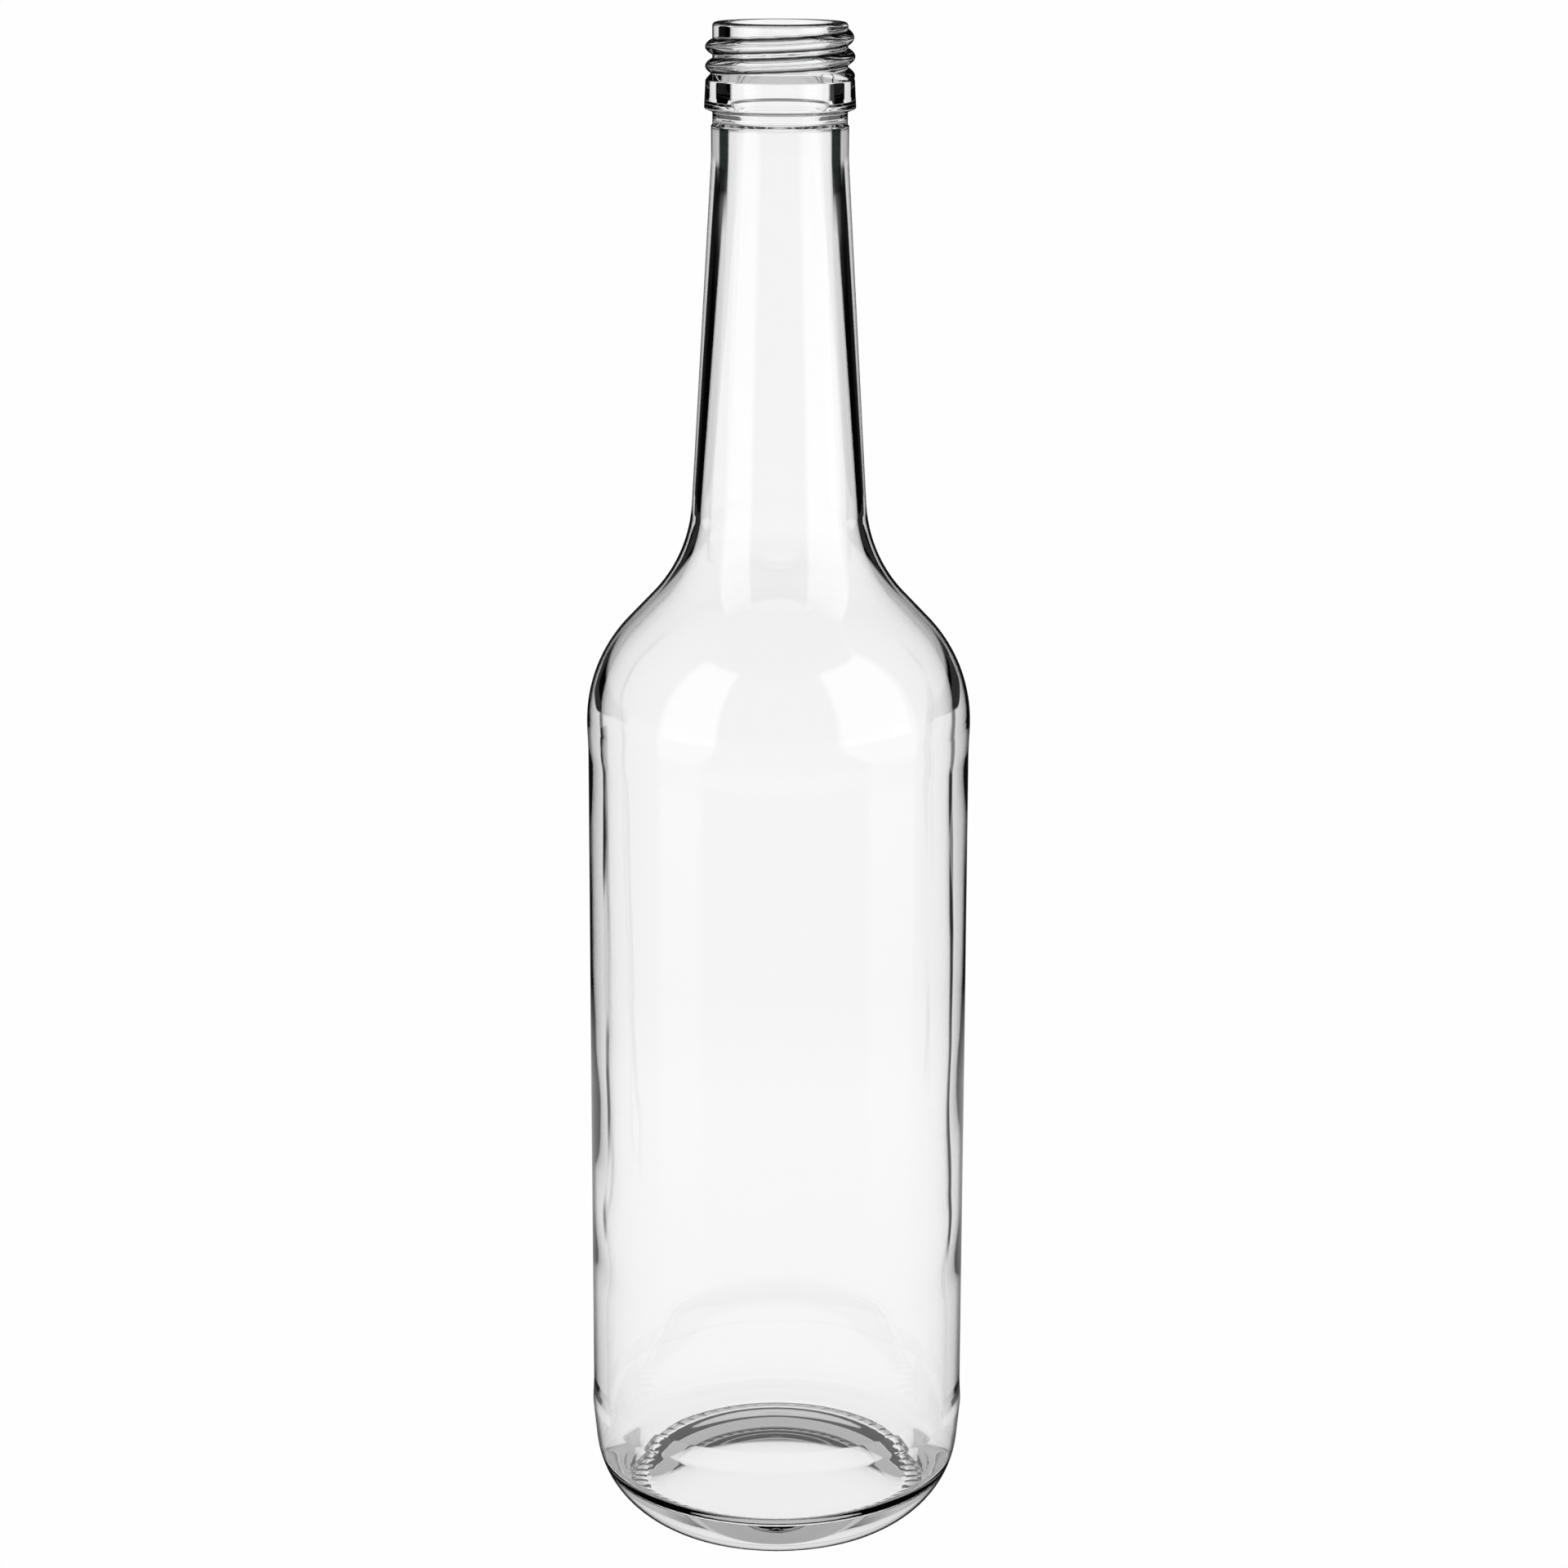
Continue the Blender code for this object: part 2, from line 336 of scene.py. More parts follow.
class BottleSizes(bpy.types.PropertyGroup):
    """Sizes that a user may change."""

    height: bpy.props.FloatProperty(
        name="Height",
        description="Height from the standing ring to the rim",
        default=CAD_HIGH.z - CAD_LOW.z,
        unit="LENGTH",
    )
    body_radius: bpy.props.FloatProperty(
        name="Body radius",
        description="Radius of the ring above the heel, where the body is widest",
        default=(CAD_HIGH.x - CAD_LOW.x) / 2.0,
        unit="LENGTH",
    )
    thread_depth: bpy.props.FloatProperty(
        name="Thread depth",
        description="How far the screw thread stands out from the neck",
        default=0.00135,
        unit="LENGTH",
    )
    unevenness: bpy.props.FloatProperty(
        name="Unevenness",
        description="How uneven the blown inside wall is, against this bottle's own",
        default=1.0,
        subtype="FACTOR",
    )
    knurls: bpy.props.IntProperty(
        name="Knurls",
        description="Number of short bars round the foot of the bottle",
        default=56,
        min=0,
    )


class BottleFinish(bpy.types.PropertyGroup):
    """Colours and optical values that a user may change."""

    glass_colour: bpy.props.FloatVectorProperty(
        name="Glass colour",
        description="Tint that light takes on at the glass surface",
        subtype="COLOR",
        size=4,
        min=0.0,
        max=1.0,
        default=linear("#FEFEFE"),
    )
    # Painted shade: the dark colour that the glass is painted towards along its edges, on the steep
    # flanks of the finish and under the collar
    painted_shade_colour: bpy.props.FloatVectorProperty(
        name="Edge colour",
        description="Colour of light that has skimmed along the wall through a great length of glass",
        subtype="COLOR",
        size=4,
        min=0.0,
        max=1.0,
        default=linear("#060808"),
    )
    glass_ior: bpy.props.FloatProperty(
        name="Refractive index",
        description="Refractive index of soda-lime glass",
        default=1.52,
    )
    background_light: bpy.props.FloatProperty(
        name="Background light",
        description="Brightness of the white sweep as seen through the glass",
        default=0.98,
    )
    softbox_light: bpy.props.FloatProperty(
        name="Softbox light",
        description="Brightness of the two tall softboxes as the glass reflects them",
        default=1.0,
    )


def round_corner(before, corner, after, radius):
    """Points of the arc that rounds a corner of an outline, in the outline's order."""
    in_x, in_z = before[0] - corner[0], before[1] - corner[1]
    out_x, out_z = after[0] - corner[0], after[1] - corner[1]
    in_length, out_length = math.hypot(in_x, in_z), math.hypot(out_x, out_z)
    in_x, in_z = in_x / in_length, in_z / in_length
    out_x, out_z = out_x / out_length, out_z / out_length
    opening = math.acos(max(-1.0, min(1.0, in_x * out_x + in_z * out_z)))
    turn = math.pi - opening
    reach = radius * math.tan(turn / 2.0)
    start = (corner[0] + in_x * reach, corner[1] + in_z * reach)
    middle_x, middle_z = in_x + out_x, in_z + out_z
    middle_length = math.hypot(middle_x, middle_z)
    away = radius / math.sin(opening / 2.0)
    centre = (corner[0] + middle_x / middle_length * away, corner[1] + middle_z / middle_length * away)
    first = math.atan2(start[1] - centre[1], start[0] - centre[0])
    side = 1.0 if in_x * out_z - in_z * out_x < 0.0 else -1.0
    steps = max(2, math.ceil(turn / ARC_STEP), math.ceil(turn * radius / ARC_LENGTH))
    points = []
    for step in range(steps + 1):
        angle = first + side * turn * step / steps
        points.append((centre[0] + radius * math.cos(angle), centre[1] + radius * math.sin(angle)))
    if radius < SHARP_ROUNDING:
        end = points[-1]
        points.insert(0, (start[0] + in_x * SUPPORT, start[1] + in_z * SUPPORT))
        points.append((end[0] + out_x * SUPPORT, end[1] + out_z * SUPPORT))
    return points


def rounded_outline(corners):
    """Outline through (radius, height, rounding) corners, with each rounding as an arc."""
    outline = []
    for index, (x, z, rounding) in enumerate(corners):
        if rounding == 0.0 or index in (0, len(corners) - 1):
            outline.append((x, z))
            continue
        outline.extend(round_corner(corners[index - 1], (x, z), corners[index + 1], rounding))
    return outline


def fill_rows(outline, longest):
    """Add points to an outline until no step is longer than longest(radius, height) allows."""
    filled = [outline[0]]
    for (x0, z0), (x1, z1) in zip(outline, outline[1:]):
        limit = longest((x0 + x1) / 2.0, (z0 + z1) / 2.0)
        steps = max(1, math.ceil(math.hypot(x1 - x0, z1 - z0) / limit))
        for step in range(1, steps + 1):
            share = step / steps
            filled.append((x0 + (x1 - x0) * share, z0 + (z1 - z0) * share))
    return filled


def dome(edge_radius, edge_z, centre_z):
    """Points of a shallow dome, from its middle out to just before its edge."""
    points = []
    for step in range(DOME_STEPS):
        share = step / DOME_STEPS
        points.append((edge_radius * share, centre_z + (edge_z - centre_z) * share * share))
    return points


def inside_outline(sizes):
    """Inside of the bottle, from the middle of the floor up to the middle of the rim."""
    height = sizes.height / MM
    floor = dome(FLOOR_EDGE_RADIUS, FLOOR_EDGE_Z, FLOOR_Z)
    wall = rounded_outline([
        (*floor.pop(), 0.0),
        (FLOOR_EDGE_RADIUS, FLOOR_EDGE_Z, FLOOR_EDGE_ROUND),
        (FLOOR_CORNER_RADIUS, FLOOR_CORNER_Z, FLOOR_ROUND),
        (BODY_INSIDE_RADIUS, BODY_INSIDE_Z, BODY_INSIDE_ROUND),
        (SHOULDER_INSIDE_RADIUS, SHOULDER_INSIDE_Z, SHOULDER_INSIDE_ROUND),
        (SHOULDER_INSIDE_TOP_RADIUS, SHOULDER_INSIDE_TOP_Z, SHOULDER_FILLET),
        (NECK_INSIDE_RADIUS, NECK_INSIDE_Z, NECK_INSIDE_ROUND),
        (THROAT_RADIUS, THROAT_Z, THROAT_ROUND),
        (BORE_RADIUS, BORE_BOTTOM_Z, BORE_ROUND),
        (BORE_RADIUS, height, RIM_EDGE),
        (RIM_MIDDLE, height, 0.0),
    ])
    return fill_rows(floor + wall, lambda radius, z: INSIDE_STEP)


def outside_rows(radius, z):
    """Longest step of the outside outline: fine where the thread and the knurls are."""
    if z > BEAD_TOP_Z and radius > FINISH_LEAST_RADIUS:
        return THREAD_STEP
    if z < KNURL_TOP_Z and KNURL_INNER - KNURL_MARGIN < radius < KNURL_OUTER + KNURL_MARGIN:
        return KNURL_STEP
    return OUTSIDE_STEP


def outside_outline(sizes):
    """Outside of the bottle, from the middle of the rim down to the middle of the push-up."""
    height = sizes.height / MM
    body = sizes.body_radius / MM
    middle = dome(BEARING_INNER, 0.0, PUNT_Z)
    wall = rounded_outline([
        (RIM_MIDDLE, height, 0.0),
        (RIM_RADIUS, height, RIM_EDGE),
        (RIM_RADIUS, BEAD_SHOULDER_Z, BEAD_ROUND),
        (BEAD_TOP_RADIUS, BEAD_TOP_Z, BEAD_ROUND),
        (BEAD_RADIUS, BEAD_BOTTOM_Z, BEAD_LOWER_ROUND),
        (COLLAR_RADIUS, COLLAR_TOP_Z, COLLAR_ROUND),
        (COLLAR_RADIUS, COLLAR_BOTTOM_Z, SEAM_ROUND),
        (NECK_RADIUS, COLLAR_BOTTOM_Z - SEAM_STEP, SEAM_ROUND),
        (NECK_RADIUS, NECK_TAPER_Z, NECK_ROUND),
        (SHOULDER_TOP_RADIUS, SHOULDER_TOP_Z, SHOULDER_FILLET),
        (body - SHOULDER_RING_INSET, SHOULDER_Z, SHOULDER_ROUND),
        (body - SHOULDER_RING_INSET, SHOULDER_RING_Z, SHOULDER_RING_ROUND),
        (body - PANEL_TOP_INSET, PANEL_TOP_Z, SHOULDER_RING_ROUND),
        (body - PANEL_INSET, PANEL_Z, 0.0),
        (body - PANEL_BOTTOM_INSET, PANEL_BOTTOM_Z, PANEL_ROUND),
        (body, HEEL_RING_Z, PANEL_ROUND),
        (body - HEEL_INSET, HEEL_Z, HEEL_ROUND),
        (BEARING_OUTER, 0.0, BEARING_OUTER_ROUND),
        (BEARING_INNER, 0.0, BEARING_INNER_ROUND),
        (*middle.pop(), 0.0),
    ])
    return fill_rows(wall + middle[::-1], outside_rows)


def turn_outline(name, outline):
    """Draw an outline by extruding one vertex along it, and spin it about the bottle's axis."""
    bpy.ops.object.select_all(action="DESELECT")
    bpy.ops.mesh.primitive_plane_add(size=MM, location=(0.0, 0.0, 0.0))
    piece = bpy.context.object
    piece.name = name
    bpy.ops.object.mode_set(mode="EDIT")
    bpy.ops.mesh.select_all(action="SELECT")
    bpy.ops.mesh.merge(type="CENTER")
    x, z = outline[0]
    bpy.ops.transform.translate(value=(x * MM, 0.0, z * MM))
    for next_x, next_z in outline[1:]:
        step = ((next_x - x) * MM, 0.0, (next_z - z) * MM)
        bpy.ops.mesh.extrude_region_move(TRANSFORM_OT_translate={"value": step})
        x, z = next_x, next_z
    bpy.ops.mesh.select_all(action="SELECT")
    bpy.ops.mesh.spin(steps=TURN_STEPS, angle=math.tau, center=(0.0, 0.0, 0.0), axis=(0.0, 0.0, 1.0))
    bpy.ops.mesh.select_all(action="SELECT")
    bpy.ops.mesh.remove_doubles(threshold=WELD_DISTANCE * MM)
    bpy.ops.object.mode_set(mode="OBJECT")
    return piece


def read_points(piece):
    """Vertex places of a mesh as an array, in metres."""
    points = np.empty(len(piece.data.vertices) * 3)
    piece.data.vertices.foreach_get("co", points)
    return points.reshape(-1, 3)


def write_points(piece, points):
    """Put moved vertex places back into a mesh."""
    piece.data.vertices.foreach_set("co", points.ravel())
    piece.data.update()


def move_outwards(points, distance):
    """Move points away from the axis by the given distances, in metres."""
    radius = np.maximum(np.hypot(points[:, 0], points[:, 1]), 1e-9)
    points[:, 0] *= (radius + distance) / radius
    points[:, 1] *= (radius + distance) / radius


def smooth_share(values, low, high):
    """Smooth rise from 0 at low to 1 at high."""
    share = np.clip((values - low) / (high - low), 0.0, 1.0)
    return share * share * (3.0 - 2.0 * share)


def raise_thread(piece, depth):
    """Raise the right-handed screw thread out of the turned neck finish."""
    points = read_points(piece)
    radius = np.hypot(points[:, 0], points[:, 1]) / MM
    z = points[:, 2] / MM
    angle = np.degrees(np.arctan2(points[:, 1], points[:, 0]))
    ridge = np.zeros(len(points))
    for turn in THREAD_TURNS:
        along = angle + 360.0 * turn
        fade = np.minimum((THREAD_START - along) / THREAD_FADE, (along - THREAD_END) / THREAD_FADE)
        fade = np.sin(np.clip(fade, 0.0, 1.0) * math.pi / 2.0)
        across = (z - THREAD_CREST_Z - THREAD_PITCH * along / 360.0) / (THREAD_WIDTH / 2.0)
        bump = (0.5 + 0.5 * np.cos(math.pi * np.clip(across, -1.0, 1.0))) ** THREAD_ROUNDNESS
        ridge = np.maximum(ridge, fade * bump)
    wall = (radius > FINISH_LEAST_RADIUS) & (z > BEAD_TOP_Z)
    crest = RIM_RADIUS + ridge * depth / MM
    lift = np.where(wall, np.maximum(crest - radius, 0.0), 0.0)
    lift *= 1.0 - smooth_share(z, *THREAD_TOP_FADE)
    move_outwards(points, lift * MM)
    write_points(piece, points)


def press_knurls(piece, count):
    """Hollow the standing ring between short radial bars, which stay level with the ground."""
    points = read_points(piece)
    radius = np.hypot(points[:, 0], points[:, 1]) / MM
    angle = np.arctan2(points[:, 1], points[:, 0])
    inner = smooth_share(radius, KNURL_INNER - KNURL_INNER_FADE, KNURL_INNER + KNURL_INNER_FADE)
    outer = smooth_share(radius, KNURL_OUTER - KNURL_OUTER_FADE, KNURL_OUTER + KNURL_OUTER_FADE)
    low = points[:, 2] < KNURL_TOP_Z * MM
    gap = 0.5 - 0.5 * np.cos(angle * count)
    points[:, 2] += KNURL_DEPTH * MM * inner * (1.0 - outer) * low * gap ** KNURL_FULLNESS
    write_points(piece, points)


def hill(z, middle, reach):
    """Smooth hill, 1 high in its middle and level beyond its reach on either side."""
    share = np.clip(1.0 - ((z - middle) / reach) ** 2, 0.0, 1.0)
    return share * share


def hills(z, rows):
    """Sum of the hills that the rows give, each with its size, height and reach."""
    return sum(row["size"] * hill(z, row["height"], row["reach"]) for row in rows)


def wave_inside(piece, unevenness):
    """Make the blown inside wall uneven on both sides of the body, in millimetres.

    On each side the wall is a little thicker or thinner, and where it also thickens from front to
    back, light is caught in it, which gives the dark bands along the edges.
    """
    points = read_points(piece)
    z = points[:, 2] / MM
    angle = np.arctan2(points[:, 1], points[:, 0])
    on_right = (0.5 + 0.5 * np.cos(angle)) ** SIDE_NARROWNESS
    on_left = (0.5 - 0.5 * np.cos(angle)) ** SIDE_NARROWNESS
    shift = on_left * (hills(z, LEFT_SHIFTS) - hills(z, LEFT_LEANS) * np.sin(angle))
    shift += on_right * (hills(z, RIGHT_SHIFTS) - hills(z, RIGHT_LEANS) * np.sin(angle))
    move_outwards(points, shift * unevenness * MM)
    write_points(piece, points)


def store_painted_shade(piece, name, darkness):
    """Store how much painted shade darkens each point of a wall, for the glass colour to read."""
    stored = piece.data.attributes.new(name, "FLOAT", "POINT")
    stored.data.foreach_set("value", darkness(read_points(piece)))


def flank_painted_shade(points):
    """Painted shade on the steep flanks of the finish, standing in for the light they send off to the
    dark room.
    """
    z = points[:, 2] / MM
    return smooth_share(z, *FLANK_DARK_RISE)


def throat_painted_shade(points):
    """Painted shade in the thick wall just under the collar."""
    z = points[:, 2] / MM
    return smooth_share(z, *THROAT_DARK_RISE) * (1.0 - smooth_share(z, *THROAT_DARK_FALL))


def outside_painted_shade(points):
    """Painted shade along the outside edges: full, but lighter low on the body and up the neck."""
    z = points[:, 2] / MM
    neck = smooth_share(z, *NECK_LIGHTER_RISE) * (1.0 - smooth_share(z, *NECK_LIGHTER_FALL))
    return 1.0 - hills(z, EDGE_LIGHTER) - NECK_LIGHTER * neck


def inside_painted_shade(points):
    """Painted shade along the inside edges: slight along the straight wall, more round the floor."""
    z = points[:, 2] / MM
    wall = smooth_share(z, *WALL_DARK_RISE) * (1.0 - smooth_share(z, *WALL_DARK_FALL))
    return WALL_DARKNESS * wall + FLOOR_DARKNESS * (1.0 - smooth_share(z, *FLOOR_DARK_FALL))


def close_glass(outside, inside):
    """Join the two walls at the rim into one closed shell with its faces pointing outwards."""
    bpy.ops.object.select_all(action="DESELECT")
    outside.select_set(True)
    inside.select_set(True)
    bpy.context.view_layer.objects.active = outside
    bpy.ops.object.join()
    bpy.ops.object.mode_set(mode="EDIT")
    bpy.ops.mesh.select_all(action="SELECT")
    bpy.ops.mesh.remove_doubles(threshold=WELD_DISTANCE * MM)
    bpy.ops.mesh.normals_make_consistent(inside=False)
    bpy.ops.object.mode_set(mode="OBJECT")
    bpy.ops.object.shade_smooth()
    return outside


def between(tree, value, edges, soft):
    """1 where the value lies between two edges and 0 outside, with soft edges."""
    low, high = edges
    rise = add_node(
        tree, "ShaderNodeMapRange",
        inputs={"Value": value, "From Min": low - soft, "From Max": low + soft},
    )
    fall = add_node(
        tree, "ShaderNodeMapRange",
        inputs={"Value": value, "From Min": high - soft, "From Max": high + soft,
                "To Min": 1.0, "To Max": 0.0},
    )
    return add_node(tree, "ShaderNodeMath", TIMES, {0: rise, 1: fall})


def left_over(tree, path, share):
    """Share of the light that is left after two turns inside the glass, and after more."""
    turns = path.outputs["Glossy Depth"]
    twice = add_node(tree, "ShaderNodeMath", ABOVE, {0: turns, 1: TWICE})
    often = add_node(tree, "ShaderNodeMath", ABOVE, {0: turns, 1: OFTEN})
    after_two = add_node(tree, "ShaderNodeMix", NUMBERS, {"Factor": twice, "A": 1.0, "B": share})
    return add_node(
        tree, "ShaderNodeMix", NUMBERS, {"Factor": often, "A": after_two, "B": share * share},
    )


def soda_lime_glass(finish):
    """Clear soda-lime glass, blown in an iron mould and fire-polished.

    It is colourless and mirror smooth, and slow ripples of its skin bend what is seen in it. Its
    colour is darkened with painted shade where the walls are seen edge-on, on the steep flanks of the
    finish and in the thick wall under the collar. This stands in for the dark that the glass turns in
    from the dark room there.
    """
    material = bpy.data.materials.new("soda_lime_glass_blown")
    material.use_nodes = True
    tree = material.node_tree
    shader = tree.nodes["Principled BSDF"]
    shader.inputs["IOR"].default_value = finish.glass_ior
    shader.inputs["Roughness"].default_value = 0.0
    shader.inputs["Transmission Weight"].default_value = 1.0
    # Painted shade: the glass colour is mixed towards the edge colour where the walls are seen edge-on,
    # on the steep flanks and in a band under the collar
    painted_edge_shade = add_node(tree, "ShaderNodeAttribute", {"attribute_name": "painted_edge_shade"})
    painted_flank_shade = add_node(tree, "ShaderNodeAttribute", {"attribute_name": "painted_flank_shade"})
    painted_throat_shade = add_node(tree, "ShaderNodeAttribute", {"attribute_name": "painted_throat_shade"})
    facing = add_node(tree, "ShaderNodeLayerWeight", inputs={"Blend": 0.5}).outputs["Facing"]
    grazing = add_node(
        tree, "ShaderNodeMapRange", SMOOTH,
        {"Value": facing, "From Min": PAINTED_EDGE_SHADE_FACING[0], "From Max": PAINTED_EDGE_SHADE_FACING[1],
         "To Max": painted_edge_shade.outputs["Fac"]},
    )
    surface = add_node(tree, "ShaderNodeNewGeometry")
    normal = add_node(tree, "ShaderNodeSeparateXYZ", inputs={"Vector": surface.outputs["Normal"]})
    lean = add_node(tree, "ShaderNodeMath", UNSIGNED, {0: normal.outputs["Z"]})
    steep = add_node(
        tree, "ShaderNodeMapRange", SMOOTH,
        {"Value": lean, "From Min": FLANK_EDGES[0], "From Max": FLANK_EDGES[1],
         "To Max": painted_flank_shade.outputs["Fac"]},
    )
    thick = between(tree, facing, THROAT_EDGES, THROAT_SOFT)
    thick = add_node(tree, "ShaderNodeMath", TIMES, {0: thick, 1: painted_throat_shade.outputs["Fac"]})
    dark = add_node(tree, "ShaderNodeMath", LARGER, {0: grazing, 1: steep})
    dark = add_node(tree, "ShaderNodeMath", LARGER, {0: dark, 1: thick})
    tint = add_node(
        tree, "ShaderNodeMix", COLOURS,
        {"Factor": dark, "A": finish.glass_colour, "B": finish.painted_shade_colour},
    )
    tree.links.new(tint.outputs["Result"], shader.inputs["Base Color"])
    place = add_node(tree, "ShaderNodeTexCoord").outputs["Object"]
    ripple = add_node(
        tree, "ShaderNodeTexNoise",
        inputs={"Vector": place, "Scale": 1.0 / (RIPPLE_LENGTH * MM), "Detail": 1.0},
    )
    bump = add_node(
        tree, "ShaderNodeBump",
        inputs={"Strength": RIPPLE_STRENGTH, "Distance": RIPPLE_HEIGHT * MM,
                "Height": ripple.outputs["Fac"]},
    )
    tree.links.new(bump.outputs["Normal"], shader.inputs["Normal"])
    return material


def softbox(tree, side, height, box, reach, finish):
    """Glow of one tall softbox, whose inner edge leans in towards its top and which fades below."""
    inner, outer = box
    leaning = add_node(
        tree, "ShaderNodeMapRange",
        inputs={"Value": height, "From Min": BOX_LEAN_RISE[0], "From Max": BOX_LEAN_RISE[1],
                "To Min": inner, "To Max": inner - reach},
    )
    within = add_node(tree, "ShaderNodeMath", MINUS, {0: side, 1: leaning})
    rise = add_node(
        tree, "ShaderNodeMapRange",
        inputs={"Value": within, "From Min": -BOX_SOFT, "From Max": BOX_SOFT},
    )
    fall = add_node(
        tree, "ShaderNodeMapRange",
        inputs={"Value": side, "From Min": outer - BOX_SOFT, "From Max": outer + BOX_SOFT,
                "To Min": 1.0, "To Max": 0.0},
    )
    top = add_node(
        tree, "ShaderNodeMapRange",
        inputs={"Value": height, "From Min": BOX_TOP - BOX_SOFT, "From Max": BOX_TOP + BOX_SOFT,
                "To Min": 1.0, "To Max": 0.0},
    )
    low = add_node(
        tree, "ShaderNodeMapRange",
        inputs={"Value": height, "From Min": BOX_LOW_RISE[0], "From Max": BOX_LOW_RISE[1]},
    )
    low = add_node(tree, "ShaderNodeMath", POWER, {0: low, 1: BOX_LOW_POWER})
    glow = add_node(tree, "ShaderNodeMath", TIMES, {0: rise, 1: fall})
    glow = add_node(tree, "ShaderNodeMath", TIMES, {0: glow, 1: top})
    glow = add_node(tree, "ShaderNodeMath", TIMES, {0: glow, 1: low})
    return add_node(tree, "ShaderNodeMath", TIMES, {0: glow, 1: finish.softbox_light})


def turned_sweep(tree, path, right, height):
    """Light of the sweep and the room as the glass turns it: bright in quarters, and upwards."""
    quarters = add_node(tree, "ShaderNodeMath", TIMES, {0: right, 1: SWEEP_QUARTERS})
    quarters = add_node(tree, "ShaderNodeMath", COSINE, {0: quarters})
    quarters = add_node(
        tree, "ShaderNodeMapRange",
        inputs={"Value": quarters, "From Min": SWEEP_QUARTER_EDGES[0],
                "From Max": SWEEP_QUARTER_EDGES[1]},
    )
    remaining = left_over(tree, path, SWEEP_LEFT_OVER)
    quarters = add_node(tree, "ShaderNodeMath", TIMES, {0: quarters, 1: remaining})
    ahead = add_node(tree, "ShaderNodeMath", COSINE, {0: right})
    ahead = add_node(
        tree, "ShaderNodeMapRange",
        inputs={"Value": ahead, "From Min": AHEAD_EDGES[0], "From Max": AHEAD_EDGES[1],
                "To Max": AHEAD_LIGHT},
    )
    level = add_node(tree, "ShaderNodeMath", LARGER, {0: quarters, 1: ahead})
    upward = add_node(
        tree, "ShaderNodeMapRange",
        inputs={"Value": height, "From Min": UPWARD_RISE[0], "From Max": UPWARD_RISE[1]},
    )
    return add_node(
        tree, "ShaderNodeMix", NUMBERS, {"Factor": upward, "A": level, "B": UPWARD_LIGHT},
    )


def low_rim(tree, height):
    """Light that the outside of the glass reflects: a dark room with a pale band low down."""
    top = add_node(
        tree, "ShaderNodeMapRange",
        inputs={"Value": height, "From Min": LOW_RIM_TOP[0], "From Max": LOW_RIM_TOP[1],
                "To Min": LOW_RIM_LIGHT, "To Max": ROOM_LIGHT},
    )
    bottom = add_node(
        tree, "ShaderNodeMapRange",
        inputs={"Value": height, "From Min": LOW_RIM_BOTTOM[0], "From Max": LOW_RIM_BOTTOM[1],
                "To Min": ROOM_LIGHT, "To Max": LOW_RIM_LIGHT},
    )
    return add_node(tree, "ShaderNodeMath", SMALLER, {0: top, 1: bottom})


def studio_world(finish):
    """White sweep behind the glass, dark room round it and two tall softboxes in front."""
    world = bpy.data.worlds.new("studio")
    bpy.context.scene.world = world
    world.use_nodes = True
    tree = world.node_tree
    background = tree.nodes["Background"]
    direction = add_node(tree, "ShaderNodeTexCoord").outputs["Generated"]
    split = add_node(tree, "ShaderNodeSeparateXYZ", inputs={"Vector": direction})
    path = add_node(tree, "ShaderNodeLightPath")
    height = add_node(tree, "ShaderNodeMath", ARC_SINE, {0: split.outputs["Z"]})
    back = add_node(tree, "ShaderNodeMath", TIMES, {0: split.outputs["Y"], 1: -1.0})
    right = add_node(tree, "ShaderNodeMath", WAY, {0: split.outputs["X"], 1: back})
    left = add_node(tree, "ShaderNodeMath", TIMES, {0: right, 1: -1.0})
    left_box = softbox(tree, left, height, LEFT_BOX, LEFT_BOX_LEAN, finish)
    right_box = softbox(tree, right, height, RIGHT_BOX, RIGHT_BOX_LEAN, finish)
    boxes = add_node(tree, "ShaderNodeMath", PLUS, {0: left_box, 1: right_box})
    sweep = add_node(
        tree, "ShaderNodeMapRange",
        inputs={"Value": height, "From Min": SWEEP_TOP[0], "From Max": SWEEP_TOP[1],
                "To Min": finish.background_light, "To Max": SWEEP_TOP_LIGHT},
    )
    narrow = turned_sweep(tree, path, right, height)
    narrow = add_node(tree, "ShaderNodeMath", TIMES, {0: narrow, 1: sweep})
    turns = path.outputs["Glossy Depth"]
    passes = path.outputs["Transmission Depth"]
    turned = add_node(tree, "ShaderNodeMath", ABOVE, {0: turns, 1: ONCE})
    entered = add_node(tree, "ShaderNodeMath", ABOVE, {0: passes, 1: ONCE})
    shallow = add_node(tree, "ShaderNodeMath", BELOW, {0: passes, 1: OFTEN})
    seen = add_node(tree, "ShaderNodeMix", NUMBERS, {"Factor": turned, "A": sweep, "B": narrow})
    glints = add_node(tree, "ShaderNodeMath", TIMES, {0: boxes, 1: shallow})
    glints = add_node(tree, "ShaderNodeMath", TIMES, {0: glints, 1: turned})
    reflected = low_rim(tree, height)
    seen = add_node(tree, "ShaderNodeMix", NUMBERS, {"Factor": entered, "A": reflected, "B": seen})
    light = add_node(tree, "ShaderNodeMath", PLUS, {0: seen, 1: glints})
    strength = add_node(
        tree, "ShaderNodeMix", NUMBERS,
        {"Factor": path.outputs["Is Camera Ray"], "A": light, "B": SHEET_WHITE},
    )
    tree.links.new(strength.outputs["Result"], background.inputs["Strength"])
    background.inputs["Color"].default_value = (1.0, 1.0, 1.0, 1.0)


